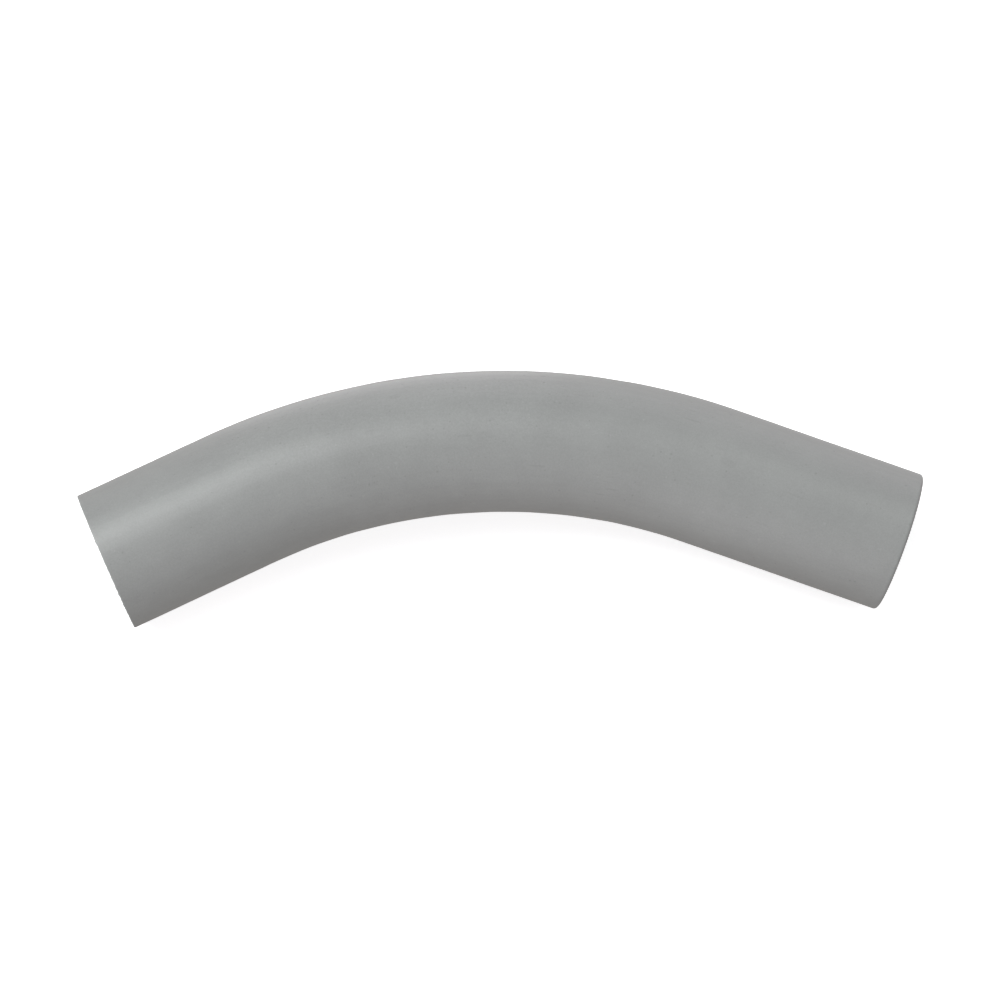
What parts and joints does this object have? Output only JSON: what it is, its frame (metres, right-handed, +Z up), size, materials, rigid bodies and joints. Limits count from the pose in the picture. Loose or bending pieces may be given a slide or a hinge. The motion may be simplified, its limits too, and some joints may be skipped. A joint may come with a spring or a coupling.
{
  "type": "conduit elbow",
  "caption": "Rigid grey plastic conduit elbow, bent 45 degrees from one plain tube, open at both ends; turns a run of electrical conduit and is glued into couplings.",
  "frame": {"origin": "bottom centre of the bounding box, with the elbow lying on its side", "axes": "+X out of the long leg along its axis, +Y level towards the outer side of the bend, +Z up, square to the plane of the bend; the short leg opens halfway between -X and -Y"},
  "size_m": [0.2664, 0.1374, 0.0487],
  "materials": {
    "grey_pvc": "satin"
  },
  "bodies": {
    "root": {"elbow_tube": "grey_pvc"}
  },
  "joints": []
}
